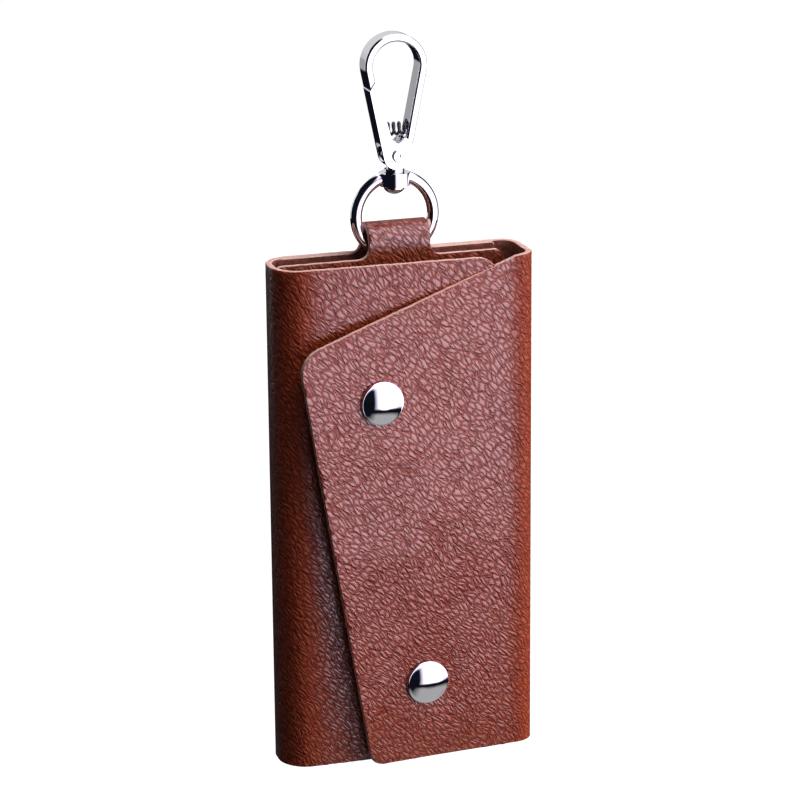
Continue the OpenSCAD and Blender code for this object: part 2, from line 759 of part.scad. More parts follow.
hook_frame();
gate();
gate_pin();
gate_spring();
swivel_ring();
inner_panel();
back_panel();
left_fold();
left_wing();
right_fold();
flap();
cap(upper_at);  // upper_cap
cap(lower_at);  // lower_cap
socket(upper_at);  // upper_socket
socket(lower_at);  // lower_socket
stud(upper_at);  // upper_stud
stud(lower_at);  // lower_stud
eyelet(upper_at);  // upper_eyelet
eyelet(lower_at);  // lower_eyelet
key_rack();
rack_rivets();
key_hook_pins();
key_hook(0);  // key_hook_1
key_hook(1);  // key_hook_2
key_hook(2);  // key_hook_3
key_hook(3);  // key_hook_4
key_hook(4);  // key_hook_5
key_hook(5);  // key_hook_6
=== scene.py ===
import bmesh
import bpy
import math
import numpy as np
from mathutils import Matrix, Vector, noise
from mathutils.geometry import delaunay_2d_cdt


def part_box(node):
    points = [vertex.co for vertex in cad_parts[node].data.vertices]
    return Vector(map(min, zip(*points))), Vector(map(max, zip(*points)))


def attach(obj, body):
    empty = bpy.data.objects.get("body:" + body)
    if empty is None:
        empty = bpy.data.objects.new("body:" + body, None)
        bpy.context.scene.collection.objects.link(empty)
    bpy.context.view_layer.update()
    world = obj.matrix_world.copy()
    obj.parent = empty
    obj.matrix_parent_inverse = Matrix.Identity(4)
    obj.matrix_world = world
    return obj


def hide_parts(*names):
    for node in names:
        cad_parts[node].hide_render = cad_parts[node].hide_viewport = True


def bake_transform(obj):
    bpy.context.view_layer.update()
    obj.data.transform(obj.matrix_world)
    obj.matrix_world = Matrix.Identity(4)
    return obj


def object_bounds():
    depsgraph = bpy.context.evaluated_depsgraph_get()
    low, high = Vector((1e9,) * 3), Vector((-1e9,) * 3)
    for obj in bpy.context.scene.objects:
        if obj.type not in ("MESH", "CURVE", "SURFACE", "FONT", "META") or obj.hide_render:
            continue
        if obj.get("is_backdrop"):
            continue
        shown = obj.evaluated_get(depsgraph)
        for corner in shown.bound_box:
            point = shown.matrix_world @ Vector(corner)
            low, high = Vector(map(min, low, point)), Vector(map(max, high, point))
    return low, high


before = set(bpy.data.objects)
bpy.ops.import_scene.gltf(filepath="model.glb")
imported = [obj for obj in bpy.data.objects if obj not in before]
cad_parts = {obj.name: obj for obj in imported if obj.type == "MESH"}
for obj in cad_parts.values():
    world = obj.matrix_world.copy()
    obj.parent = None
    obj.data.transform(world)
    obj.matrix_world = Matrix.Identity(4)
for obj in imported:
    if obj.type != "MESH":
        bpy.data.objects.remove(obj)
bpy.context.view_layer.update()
MM = 0.001
BLACK, WHITE = (0.0, 0.0, 0.0), (1.0, 1.0, 1.0)


def deg(a):
    return math.radians(a)


def grey(value):
    return (value, value, value)


def box_mm(node_name):
    low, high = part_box(node_name)
    return low / MM, high / MM


def add_object(name, data):
    made = bpy.data.objects.new(name, data)
    bpy.context.scene.collection.objects.link(made)
    return made


# The camera looks down at the case from the left of its front.
AZIMUTH, ELEVATION, ROLL = deg(17.2), deg(16.6), deg(-0.5)
DISTANCE = 0.704
TARGET = Vector((0.0001, -0.00255, -0.0802))
SENSOR_MM = 36
LENS_PX, FRAME_PX = 3173, 800

flat_share = math.cos(ELEVATION)
ahead = Vector((math.sin(AZIMUTH) * flat_share, math.cos(AZIMUTH) * flat_share, -math.sin(ELEVATION)))
level = Vector((math.cos(AZIMUTH), -math.sin(AZIMUTH), 0))
upright = level.cross(ahead)
right = level * math.cos(ROLL) + upright * math.sin(ROLL)
up = upright * math.cos(ROLL) - level * math.sin(ROLL)
place = TARGET - ahead * DISTANCE
cam_data = bpy.data.cameras.new("camera")
cam_data.sensor_width = SENSOR_MM
cam_data.sensor_fit = "HORIZONTAL"
cam_data.lens = SENSOR_MM * LENS_PX / FRAME_PX
cam = add_object("camera", cam_data)
cam.matrix_world = Matrix((
    (right.x, up.x, -ahead.x, place.x),
    (right.y, up.y, -ahead.y, place.y),
    (right.z, up.z, -ahead.z, place.z),
    (0, 0, 0, 1)))
bpy.context.scene.camera = cam


# Helpers for materials made of nodes
def new_material(name):
    m = bpy.data.materials.new(name)
    m.use_nodes = True
    n = m.node_tree.nodes
    n.clear()
    out = n.new("ShaderNodeOutputMaterial")
    shader = n.new("ShaderNodeBsdfPrincipled")
    m.node_tree.links.new(shader.outputs[0], out.inputs[0])
    return m, m.node_tree, shader


def node(tree, kind, **values):
    """A new node. A value goes into the input of its name, with _ for a space, or else sets a property."""
    made = tree.nodes.new(kind)
    for key, value in values.items():
        key = key.replace("_", " ") if key[0].isupper() else key
        if key in made.inputs:
            made.inputs[key].default_value = value
        else:
            setattr(made, key, value)
    return made


def fill_socket(tree, socket, value):
    if hasattr(value, "links"):
        tree.links.new(value, socket)
    else:
        socket.default_value = value


def maths(tree, how, a, b=0.5, c=0.0):
    made = tree.nodes.new("ShaderNodeMath")
    made.operation = how
    for socket, value in zip(made.inputs, (a, b, c)):
        fill_socket(tree, socket, value)
    return made.outputs[0]


def weighted_sum(tree, pairs):
    total = maths(tree, "MULTIPLY", *pairs[0])
    for value, weight in pairs[1:]:
        total = maths(tree, "MULTIPLY_ADD", value, weight, total)
    return total


def ramp(tree, value, stops):
    made = tree.nodes.new("ShaderNodeValToRGB")
    bar = made.color_ramp
    while len(bar.elements) < len(stops):
        bar.elements.new(0.5)
    for e, (at, colour) in zip(bar.elements, stops):
        e.position = at
        e.color = (*colour, 1)
    tree.links.new(value, made.inputs[0])
    return made.outputs[0]


def smooth_range(tree, value, low, high):
    made = tree.nodes.new("ShaderNodeMapRange")
    made.interpolation_type = "SMOOTHSTEP"
    made.inputs["From Min"].default_value = low
    made.inputs["From Max"].default_value = high
    tree.links.new(value, made.inputs["Value"])
    return made.outputs[0]


def mix(tree, factor, a, b):
    made = tree.nodes.new("ShaderNodeMix")
    made.data_type = "RGBA"
    fill_socket(tree, next(s for s in made.inputs if s.name == "Factor" and s.type == "VALUE"), factor)
    for name, value in (("A", a), ("B", b)):
        socket = next(s for s in made.inputs if s.name == name and s.type == "RGBA")
        fill_socket(tree, socket, (*value, 1) if isinstance(value, tuple) else value)
    return next(s for s in made.outputs if s.type == "RGBA")


def mix_shaders(tree, factor, first, second):
    made = tree.nodes.new("ShaderNodeMixShader")
    fill_socket(tree, made.inputs[0], factor)
    tree.links.new(first.outputs[0], made.inputs[1])
    tree.links.new(second.outputs[0], made.inputs[2])
    return made


def bump(tree, height, socket, distance, strength=1.0):
    made = node(tree, "ShaderNodeBump", Strength=strength, Distance=distance)
    tree.links.new(height, made.inputs["Height"])
    tree.links.new(made.outputs[0], socket)


def aligned(tree, vector, scale, turn=0.0):
    """The vector turned about Z and then scaled, so that a texture can be stretched along any direction."""
    first = node(tree, "ShaderNodeMapping", Rotation=(0, 0, turn))
    tree.links.new(vector, first.inputs["Vector"])
    then = node(tree, "ShaderNodeMapping", Scale=scale)
    tree.links.new(first.outputs[0], then.inputs["Vector"])
    return then.outputs[0]


def clouds(tree, vector, scale, detail, roughness, dimensions="2D"):
    made = node(tree, "ShaderNodeTexNoise", noise_dimensions=dimensions, Scale=scale, Detail=detail,
                Roughness=roughness)
    tree.links.new(vector, made.inputs["Vector"])
    return made.outputs


def cells(tree, vector, scale, turn, width):
    """Pebbles: 0 in the grooves between cells, rising to 1 on their domes."""
    c = node(tree, "ShaderNodeTexVoronoi", voronoi_dimensions="2D", feature="DISTANCE_TO_EDGE", Scale=1.0,
             Randomness=1.0)
    tree.links.new(aligned(tree, vector, scale, turn), c.inputs["Vector"])
    return smooth_range(tree, c.outputs["Distance"], 0.0, width)


def folds(tree, vector, scale, turn, width):
    """Long wandering creases: 0 along them and 1 between them."""
    n = clouds(tree, aligned(tree, vector, scale, turn), 1.0, 1.0, 0.4)["Fac"]
    from_crease = maths(tree, "ABSOLUTE", maths(tree, "SUBTRACT", n, 0.5))
    return smooth_range(tree, from_crease, 0.0, width)


def skin_place(tree):
    """Where a point is on the flat leather, in mm: along it, up it and into it."""
    return node(tree, "ShaderNodeAttribute", attribute_name="skin").outputs["Vector"]


# How far in mm the grain wanders, and how the parts of its relief share the height in mm
GRAIN_DRIFT = (3.2, 3.2, 0.0)
PEBBLE_SHARE, CREASE_SHARE, FINE_SHARE, GRIT_SHARE = 0.15, 0.15, 0.05, 0.035
COAT_RELIEF = 0.17
# How much coat the grooves keep, and how much is taken off over the bends and as painted shade beside them
COAT_IN_GROOVES, COAT_LOST_IN_BENDS_AND_SHADE = 0.2, 0.85


def leather_material(name, tone, dark, light, polish):
    """Pebbled leather under a coat that is thin in its grooves and dull where the leather bends. The coat is
    also taken off as painted shade where shade falls beside the bends, and its grooves are darkened, partly
    as painted shade.
    """
    m, t, shader = new_material(name)
    skin = skin_place(t)
    shift = node(t, "ShaderNodeVectorMath", operation="MULTIPLY_ADD")
    t.links.new(clouds(t, skin, 0.07, 4.0, 0.58)["Color"], shift.inputs[0])
    shift.inputs[1].default_value = GRAIN_DRIFT
    t.links.new(skin, shift.inputs[2])
    warped = shift.outputs[0]
    pebble = cells(t, warped, (0.46, 1.12, 1), deg(47), 0.50)
    fine = cells(t, warped, (1.5, 2.4, 1), deg(50), 0.45)
    crease = folds(t, warped, (0.16, 0.55, 1), deg(48), 0.055)
    grit = clouds(t, skin, 3.4, 3.0, 0.7)["Fac"]
    patch = clouds(t, skin, 0.035, 3.0, 0.55)["Fac"]
    height = weighted_sum(t, (
        (pebble, PEBBLE_SHARE), (crease, CREASE_SHARE), (fine, FINE_SHARE), (grit, GRIT_SHARE)))
    bump(t, height, shader.inputs["Normal"], MM)
    bump(t, height, shader.inputs["Coat Normal"], MM * COAT_RELIEF)
    fine_part = maths(t, "MULTIPLY_ADD", fine, 0.3, 0.7)
    raised = maths(t, "MULTIPLY", fine_part, maths(t, "MULTIPLY", pebble, crease))
    base = mix(t, ramp(t, patch, [(0.3, BLACK), (0.7, WHITE)]), tone, light)
    # The grooves between the pebbles darken towards the dark colour: partly the grain's own dark, partly
    # painted shade in the grooves.
    base = mix(t, ramp(t, raised, [(0.0, grey(0.65)), (0.3, grey(0.25)), (0.7, BLACK)]), base, dark)
    t.links.new(base, shader.inputs["Base Color"])
    shader.inputs["Roughness"].default_value = 0.5
    shader.inputs["Specular IOR Level"].default_value = 0.25
    # Painted shade: the attribute read below takes the coat off over the folds and where shade falls beside
    # them, so that no reflection shows there.
    bend = node(t, "ShaderNodeAttribute", attribute_name="bend").outputs["Fac"]
    left_on = maths(t, "MULTIPLY_ADD", bend, -COAT_LOST_IN_BENDS_AND_SHADE * polish, polish)
    over_grain = ramp(t, raised, [(0.0, grey(COAT_IN_GROOVES)), (0.5, WHITE)])
    t.links.new(maths(t, "MULTIPLY", over_grain, left_on), shader.inputs["Coat Weight"])
    shader.inputs["Coat Roughness"].default_value = 0.20
    shader.inputs["Coat IOR"].default_value = 2.2
    return m


def edge_material(name, pale, deep):
    """The raw cut edge of the leather."""
    m, t, shader = new_material(name)
    fibres = clouds(t, aligned(t, skin_place(t), (1, 1, 2.6)), 1.8, 4.0, 0.75, "3D")["Fac"]
    lightest = tuple(min(1, c * 1.2) for c in pale)
    t.links.new(ramp(t, fibres, [(0.32, deep), (0.5, pale), (0.8, lightest)]), shader.inputs["Base Color"])
    bump(t, fibres, shader.inputs["Normal"], 0.2 * MM)
    shader.inputs["Roughness"].default_value = 0.75
    shader.inputs["Specular IOR Level"].default_value = 0.15
    return m


def flesh_material(name, tone, dark):
    """The suede-like inner side of the leather."""
    m, t, shader = new_material(name)
    skin = skin_place(t)
    nap = clouds(t, skin, 0.8, 6.0, 0.8)["Fac"]
    fibre = clouds(t, aligned(t, skin, (2.2, 6.0, 1), 0.8), 1.0, 3.0, 0.7)["Fac"]
    t.links.new(ramp(t, nap, [(0.3, dark), (0.65, tone)]), shader.inputs["Base Color"])
    bump(t, maths(t, "ADD", fibre, nap), shader.inputs["Normal"], 0.25 * MM, 0.8)
    shader.inputs["Roughness"].default_value = 0.7
    shader.inputs["Specular Tint"].default_value = (1.0, 0.84, 1.0, 1)
    return m


def metal_material(name, colour, rough, relief, spots):
    m, t, shader = new_material(name)
    where = node(t, "ShaderNodeTexCoord").outputs["Object"]
    swells = clouds(t, where, 140.0, 2.0, 0.5, "3D")["Fac"]
    wear = clouds(t, where, 1800.0, 3.0, 0.6, "3D")["Fac"]
    darker = tuple(c * (1 - spots) for c in colour)
    t.links.new(ramp(t, swells, [(0.3, darker), (0.7, colour)]), shader.inputs["Base Color"])
    t.links.new(ramp(t, wear, [(0.35, grey(rough)), (0.75, grey(rough + spots))]), shader.inputs["Roughness"])
    bump(t, swells, shader.inputs["Normal"], relief, 0.3)
    shader.inputs["Metallic"].default_value = 1.0
    return m


FACE = leather_material(
    "leather_face", (0.38, 0.063, 0.018), (0.17, 0.014, 0.009), (0.45, 0.078, 0.024), 0.86)
# Painted shade: the inner panel and strap get a darker copy of the face leather, standing in for the shade
# inside the case.
SHADED_INNER = leather_material(
    "leather_inner_shaded", (0.27, 0.045, 0.013), (0.07, 0.009, 0.004), (0.33, 0.056, 0.016), 1.0)
EDGE = edge_material("leather_edge", (0.92, 0.58, 0.52), (0.50, 0.20, 0.15))
FLESH = flesh_material("leather_flesh", (0.30, 0.10, 0.07), (0.12, 0.03, 0.015))
CHROME = metal_material("chrome", (0.88, 0.88, 0.90), 0.035, 0.00006, 0.03)
DARK_STEEL = metal_material("spring_steel", (0.08, 0.08, 0.085), 0.22, 0.00002, 0.1)
STEEL = metal_material("nickel_steel", (0.62, 0.62, 0.63), 0.22, 0.0001, 0.08)


# The leather wrap. Lengths are in mm from here to the metal pieces, and T is the leather's thickness.
T = 1.4
CASE_LOW, CASE_HIGH = box_mm("back_panel")
CASE_Z, CASE_H = CASE_LOW.z, CASE_HIGH.z - CASE_LOW.z
BACK_Y = CASE_HIGH.y
LEFT_X, RIGHT_X = CASE_LOW.x, CASE_HIGH.x
LEFT_OUT, RIGHT_OUT = box_mm("left_fold")[0].x, box_mm("right_fold")[1].x
LEFT_R, RIGHT_R = LEFT_X - LEFT_OUT, RIGHT_OUT - RIGHT_X
LEFT_DEPTH, RIGHT_DEPTH = 14.9, 15.9
LEAN, FLARE = 1.4, 4.3
WING_END, FLAP_END, FOOT_END = 20.7, -26.2, -10.4
FLAP_DROP = 18.2
# How much the cut edges are eased at each face
LIP = 0.14


class Plan:
    """The outer face of a folded sheet seen from above; turn is 1 anticlockwise and -1 clockwise."""

    def __init__(self, start, heading, turn):
        self.turn = turn
        self.parts = []
        self.at_end = (Vector(start), heading)
        self.length = 0.0

    def line(self, length):
        p, h = self.at_end
        self.parts.append((self.length, p, h, 0.0))
        self.length += length
        self.at_end = (p + length * Vector((math.cos(h), math.sin(h))), h)
        return self

    def arc(self, r, angle):
        p, h = self.at_end
        self.parts.append((self.length, p, h, self.turn / r))
        self.length += r * angle
        self.at_end = self.point(self.length, self.parts[-1])
        return self

    def point(self, s, part):
        s0, p, h, k = part
        if k == 0:
            return p + (s - s0) * Vector((math.cos(h), math.sin(h))), h
        h1 = h + (s - s0) * k
        return p + Vector((math.sin(h1) - math.sin(h), math.cos(h) - math.cos(h1))) / k, h1

    def at(self, s):
        """The place at a length along the sheet, and the way that its outer face looks there."""
        part = self.parts[0]
        for q in self.parts:
            if s >= q[0]:
                part = q
        p, h = self.point(s, part)
        return p, self.turn * Vector((math.sin(h), -math.cos(h)))


left_front = BACK_Y - LEFT_DEPTH + LEFT_R
right_front = BACK_Y - RIGHT_DEPTH + RIGHT_R
left_mid = (BACK_Y - LEFT_R + left_front) / 2
right_mid = (BACK_Y - RIGHT_R + right_front) / 2
plan_left = Plan((0, BACK_Y), deg(180), 1).line(-LEFT_X).arc(LEFT_R, deg(90)).line(BACK_Y - LEFT_R - left_mid)
plan_right = Plan((0, BACK_Y), 0, -1).line(RIGHT_X).arc(RIGHT_R, deg(90)).line(BACK_Y - RIGHT_R - right_mid)
plan_wing = Plan((LEFT_OUT, left_mid), deg(-90), 1).line(left_mid - left_front).arc(LEFT_R, deg(90 - LEAN))
WING_ROOT = plan_wing.length
wing_root = plan_wing.at_end[0]
plan_wing.line((WING_END - wing_root.x) / math.cos(deg(LEAN)))
plan_flap = Plan((RIGHT_OUT, right_mid), deg(-90), -1)
plan_flap.line(right_mid - right_front).arc(RIGHT_R, deg(90 - FLARE))
FLAP_ROOT = plan_flap.length
flap_root = plan_flap.at_end[0]
plan_flap.line((flap_root.x - FLAP_END) / math.cos(deg(FLARE)))
FOOT_S = FLAP_ROOT + (flap_root.x - FOOT_END) / math.cos(deg(FLARE))


def rounded(points, step=0.7):
    """A closed outline: each point is (x, y, radius, free), where free says that the side after it is cut
    leather. Gives the points and whether the side after each is free."""
    n = len(points)
    out = []
    for i, (x, y, r, free) in enumerate(points):
        b = Vector((x, y))
        if abs(r) < 1e-6:
            out.append((b, free))
            continue
        a, c = Vector(points[i - 1][:2]), Vector(points[(i + 1) % n][:2])
        u, v = (a - b).normalized(), (c - b).normalized()
        half_angle = u.angle(v) / 2
        mid = b + (u + v).normalized() * r / math.sin(half_angle)
        p0, p1 = b + u * r / math.tan(half_angle) - mid, b + v * r / math.tan(half_angle) - mid
        a0, a1 = math.atan2(p0.y, p0.x), math.atan2(p1.y, p1.x)
        sweep = (a1 - a0 + math.pi) % (2 * math.pi) - math.pi
        k = max(3, int(abs(sweep) * r / step) + 1)
        prev_free = points[i - 1][3]
        for j in range(k + 1):
            t = a0 + sweep * j / k
            out.append((mid + r * Vector((math.cos(t), math.sin(t))), free if j == k else prev_free and free))
    full = []
    for i, (p, free) in enumerate(out):
        q = out[(i + 1) % len(out)][0]
        k = max(1, int((q - p).length / step))
        full += [(p.lerp(q, j / k), free) for j in range(k)]
    return full


def cut_normals(points, free):
    """Which way the cut edge faces at each point of an outline, or zero where neither of its sides is cut."""
    n = len(points)
    off = np.zeros((n, 2))
    for i in range(n):
        normals = []
        for j in (i - 1, i):
            d = points[(j + 1) % n] - points[j]
            d = d / np.linalg.norm(d)
            if free[j]:
                normals.append(np.array((d[1], -d[0])))
        if len(normals) == 2:
            off[i] = (normals[0] + normals[1]) / max(0.5, 1 + normals[0] @ normals[1])
        elif normals:
            off[i] = normals[0]
    return off


def filled(outline, spacing):
    """Triangles that fill a closed outline over a staggered grid.
    Gives their corners, the triangles, and which corner each point of the outline is."""
    low, high = outline.min(0), outline.max(0)
    gx = np.arange(low[0] + spacing / 2, high[0], spacing)
    gy = np.arange(low[1] + spacing / 2, high[1], spacing * 0.94)
    grid = np.array([(x + (spacing / 2 if j % 2 else 0), y) for j, y in enumerate(gy) for x in gx])
    a, b = outline, np.roll(outline, -1, 0)
    ab = b - a

    def within(q):
        spans = (a[None, :, 1] > q[:, None, 1]) != (b[None, :, 1] > q[:, None, 1])
        crossing = ab[None, :, 0] * (q[:, None, 1] - a[None, :, 1]) / (ab[None, :, 1] + 1e-12) + a[None, :, 0]
        return (spans & (q[:, None, 0] < crossing)).sum(1) % 2 == 1

    t = np.clip(((grid[:, None] - a[None]) * ab[None]).sum(2) / (ab ** 2).sum(1)[None], 0, 1)
    gap = np.sqrt((((a[None] + t[..., None] * ab[None]) - grid[:, None]) ** 2).sum(2)).min(1)
    grid = grid[within(grid) & (gap > spacing * 0.45)]
    n = len(outline)
    flat = [Vector(p) for p in outline] + [Vector(p) for p in grid]
    sides = [(i, (i + 1) % n) for i in range(n)]
    corners, _, faces, origins, _, _ = delaunay_2d_cdt(flat, sides, [], 1, 1e-5, True)
    corners = [tuple(v) for v in corners]
    spots = np.array(corners)
    keep = within(np.array([spots[list(f)].mean(0) for f in faces]))
    index = {}
    for k, origin in enumerate(origins):
        for i in origin:
            index[i] = k
    return corners, [f for f, inside in zip(faces, keep) if inside], [index[i] for i in range(n)]


def raggedness(x, y):
    coarse = noise.noise(Vector((x * 0.9, y * 0.9, 7.7)))
    fine = noise.noise(Vector((x * 2.7, y * 2.7, 3.1)))
    return coarse * 0.7 + fine * 0.5


def sheet(name, outline, where, materials, spacing, start, rough, skin_flip=1.0, bent_or_shaded=None):
    """A piece of leather: its outline is in the flat, and where(x, y, depth) gives a point's place in mm.
    The materials are those of its outer face, its inner face and its edge. start is where it begins along the
    whole leather, rough is how ragged its edges are in mm, and skin_flip is -1 where it runs the other way.
    The last argument says, from 0 to 1, how far its finish is dulled: by bending, and as painted shade where
    shade falls next to the bends."""
    pts = np.array([tuple(p) for p, _ in outline])
    n = len(pts)
    off = cut_normals(pts, [f for _, f in outline])
    corners, triangles, ring = filled(pts - off * LIP, spacing)
    jag = np.array([raggedness(p[0], p[1]) for p in pts])
    pts = pts + off * (jag * rough)[:, None] - off * rough * 0.4
    m = len(corners)
    verts, skin, bends = [], [], []

    def add(x, y, depth):
        x, y = float(x), float(y)
        verts.append(where(x, y, depth) * MM)
        skin.append((start + skin_flip * x, y, depth))
        bends.append(bent_or_shaded(x, y) if bent_or_shaded else 0.0)

    for points, depth in ((corners, 0.0), (pts, LIP), (pts, T - LIP), (corners, T)):
        for x, y in points:
            add(x, y, depth)
    faces, kinds = [], []
    for f in triangles:
        faces.append(tuple(f))
        kinds.append(0)
        faces.append(tuple(2 * n + m + i for i in reversed(f)))
        kinds.append(1)
    upper, lower, bottom = m, m + n, m + 2 * n
    for i in range(n):
        j = (i + 1) % n
        faces.append((ring[i], upper + i, upper + j, ring[j]))
        kinds.append(0)
        faces.append((upper + i, lower + i, lower + j, upper + j))
        kinds.append(2)
        faces.append((lower + i, bottom + ring[i], bottom + ring[j], lower + j))
        kinds.append(2)
    mesh = bpy.data.meshes.new(name)
    mesh.from_pydata([tuple(v) for v in verts], [], faces)
    mesh.polygons.foreach_set("material_index", kinds)
    for material in materials:
        mesh.materials.append(material)
    attribute = mesh.attributes.new("skin", "FLOAT_VECTOR", "POINT")
    attribute.data.foreach_set("vector", np.array(skin, np.float32).ravel())
    # How far the finish is dulled: by bending, and as painted shade beside the bends
    attribute = mesh.attributes.new("bend", "FLOAT", "POINT")
    attribute.data.foreach_set("value", np.array(bends, np.float32))
    bm = bmesh.new()
    bm.from_mesh(mesh)
    bmesh.ops.recalc_face_normals(bm, faces=bm.faces)
    bm.to_mesh(mesh)
    bm.free()
    mesh.shade_smooth()
    mesh.set_sharp_from_angle(angle=deg(52))
    return add_object(name, mesh)


def smooth(a, b, x):
    t = min(1.0, max(0.0, (x - a) / (b - a)))
    return t * t * (3 - 2 * t)


def on_plan(plan, relief=None):
    def where(s, v, depth):
        p, n = plan.at(s)
        lift = relief(s, v) if relief else 0.0
        p = p + n * (lift - depth)
        return Vector((p.x, p.y, CASE_Z + v))
    return where


def wave(x, y, seed, size):
    return noise.noise(Vector((x / size, y / size, seed)))


# Each snap's place on the flap: along it and up it
snaps = []
for low, high in (box_mm("upper_cap"), box_mm("lower_cap")):
    c = (low + high) / 2
    snaps.append((FLAP_ROOT + (flap_root.x - c.x) / math.cos(deg(FLARE)), c.z - CASE_Z))


def flap_relief(s, v):
    """The flap's slight waves, and the dip where each snap pulls it in."""
    lift = 0.35 * wave(s, v, 2.3, 24) + 0.12 * wave(s, v, 5.1, 9)
    for a, b in snaps:
        lift -= 0.3 * math.exp(-((s - a) ** 2 + (v - b) ** 2) / 60)
    return lift * smooth(FLAP_ROOT - 3, FLAP_ROOT + 14, s)


def wing_relief(s, v):
    lift = 0.25 * wave(s, v, 8.4, 26) + 0.08 * wave(s, v, 1.9, 9)
    return lift * smooth(WING_ROOT - 4, WING_ROOT + 12, s)


# Partly painted shade: how far the coat is dulled. Over the folds this stands for leather dulled by bending.
# The wing's mask runs 5.5 mm past its bend onto the flat, where the flap's shadow falls, and the right side's
# covers the right fold and side, where no reflection falls.
def flap_bent_or_shaded(s, v):
    return 1 - smooth(FLAP_ROOT - 0.5, FLAP_ROOT + 3.5, s)


def wing_bent_or_shaded(s, v):
    return smooth(WING_ROOT - 9.5, WING_ROOT - 7, s) * (1 - smooth(WING_ROOT - 0.5, WING_ROOT + 5.5, s))


def right_bent_or_shaded(s, v):
    return smooth(RIGHT_X, RIGHT_X + 4, s)


def strip(length):
    """The outline of a part of the wrap that goes on at both its ends."""
    return rounded([(0, CASE_H, 0, False), (0, 0, 0, True), (length, 0, 0, False), (length, CASE_H, 0, True)])


wing_outline = rounded([
    (0, CASE_H, 0, False), (0, 0, 0, True),
    (plan_wing.length, 0, 5, True), (plan_wing.length, CASE_H, 5, True)])
flap_outline = rounded([
    (0, CASE_H, 0, False), (0, 0, 0, True), (FOOT_S, 0, 3, True),
    (plan_flap.length, CASE_H - FLAP_DROP, 6, True), (FLAP_ROOT, CASE_H, 9, True)])
leather = (FACE, FLESH, EDGE)
back_left = sheet("wrap_back_left", strip(plan_left.length), on_plan(plan_left), leather, 1.3, 0.0, 0.06)
wing = sheet("wrap_wing", wing_outline, on_plan(plan_wing, wing_relief), leather, 1.0, plan_left.length, 0.12,
             bent_or_shaded=wing_bent_or_shaded)
back_right = sheet("wrap_back_right", strip(plan_right.length), on_plan(plan_right), leather, 1.3, 0.0, 0.06,
                   -1.0, right_bent_or_shaded)
flap = sheet("wrap_flap", flap_outline, on_plan(plan_flap, flap_relief), leather, 1.0, -plan_right.length,
             0.22, -1.0, flap_bent_or_shaded)
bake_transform(back_left)
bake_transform(wing)
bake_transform(back_right)
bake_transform(flap)
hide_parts("back_panel", "left_fold")
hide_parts("left_wing")
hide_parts("right_fold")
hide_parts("flap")

# The inner panel, folded over the ring as a strap. u runs along it from its lower front end over the loop.
PANEL_LOW, PANEL_HIGH = box_mm("inner_panel")
CASE_TOP = CASE_Z + CASE_H
LOOP_IN = PANEL_HIGH.y - T
LOOP_Z = PANEL_HIGH.z - PANEL_HIGH.y
LOOP_R = PANEL_HIGH.y
PANEL_H = CASE_TOP - PANEL_LOW.z
STRAP_HALF, FILLET = 7.0, 2.4
STRAIGHT, SEAT = T * 1.9, PANEL_H * 0.5
STEP = 0.5
STEPS_DOWN = int(PANEL_H / STEP)
# The panel's left end is fitted into the wrap's left bend from here on, with a little room.
NEST_FROM, NEST = -15.0, 0.4


def ply_y(down):
    """Where the front ply's outer face is, at a depth below the case's top edge."""
    share = min(1, max(0, (down - STRAIGHT) / (SEAT - STRAIGHT)))
    return -LOOP_IN * math.cos(math.pi * share) - T


side = [Vector((ply_y(PANEL_H - i * STEP), CASE_TOP - PANEL_H + i * STEP)) for i in range(STEPS_DOWN + 1)]
for a in range(180, -1, -6):
    side.append(Vector((LOOP_R * math.cos(deg(a)), LOOP_Z + LOOP_R * math.sin(deg(a)))))
side += [Vector((LOOP_R, CASE_TOP - i * STEP)) for i in range(STEPS_DOWN + 1)]
run = [0.0]
for a, b in zip(side, side[1:]):
    run.append(run[-1] + (b - a).length)
u_front = run[STEPS_DOWN]
u_rear = run[-1] - PANEL_H


def room_left(y):
    past = max(0, y - (BACK_Y - LEFT_R), left_front - y)
    return LEFT_X + NEST - math.sqrt(max(0.0, (LEFT_R - T) ** 2 - past ** 2))


def on_panel(x, u, depth):
    u = min(max(u, 0.0), run[-1] - 1e-6)
    i = max(0, int(np.searchsorted(run, u, side="right")) - 1)
    i = min(i, len(side) - 2)
    t = (u - run[i]) / (run[i + 1] - run[i])
    p = side[i].lerp(side[i + 1], t)
    before = (side[i + 1] - side[i - 1 if i else 0]).normalized()
    after = (side[min(i + 2, len(side) - 1)] - side[i]).normalized()
    d = before.lerp(after, t).normalized()
    p = p - Vector((-d.y, d.x)) * depth
    if x < NEST_FROM:
        x = NEST_FROM + (x - NEST_FROM) * (room_left(p.x) - NEST_FROM) / (PANEL_LOW.x - NEST_FROM)
    return Vector((x, p.x, p.y))


def strap_bent_or_shaded(x, u):
    """The strap is dull over the ring, where it bends, and painted shade takes its coat off in front, below
    where it enters the case.
    """
    top = (u_front + u_rear) / 2
    return max(smooth(top - 3.2, top - 0.6, u), 1 - smooth(u_front + 1.5, u_front + 3.5, u))


xl, xr = PANEL_LOW.x, PANEL_HIGH.x
panel_outline = rounded([
    (xl, run[-1], 0, True), (xl, u_rear, 0.6, True),
    (-STRAP_HALF, u_rear, FILLET, True), (-STRAP_HALF, u_front, FILLET, True),
    (xl, u_front, 0.6, True), (xl, 0, 0, True), (xr, 0, 0, True), (xr, u_front, 2.2, True),
    (STRAP_HALF, u_front, FILLET, True), (STRAP_HALF, u_rear, FILLET, True),
    (xr, u_rear, 0.6, True), (xr, run[-1], 0, True)], 0.5)
panel = sheet("inner_panel_strap", panel_outline, on_panel, (SHADED_INNER, FLESH, EDGE), 0.8, 300.0, 0.1,
              bent_or_shaded=strap_bent_or_shaded)
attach(panel, "case")
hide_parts("inner_panel")


# The metal pieces. The CAD's shapes stay, with eased edges where they catch the light.
SHARP = deg(32)
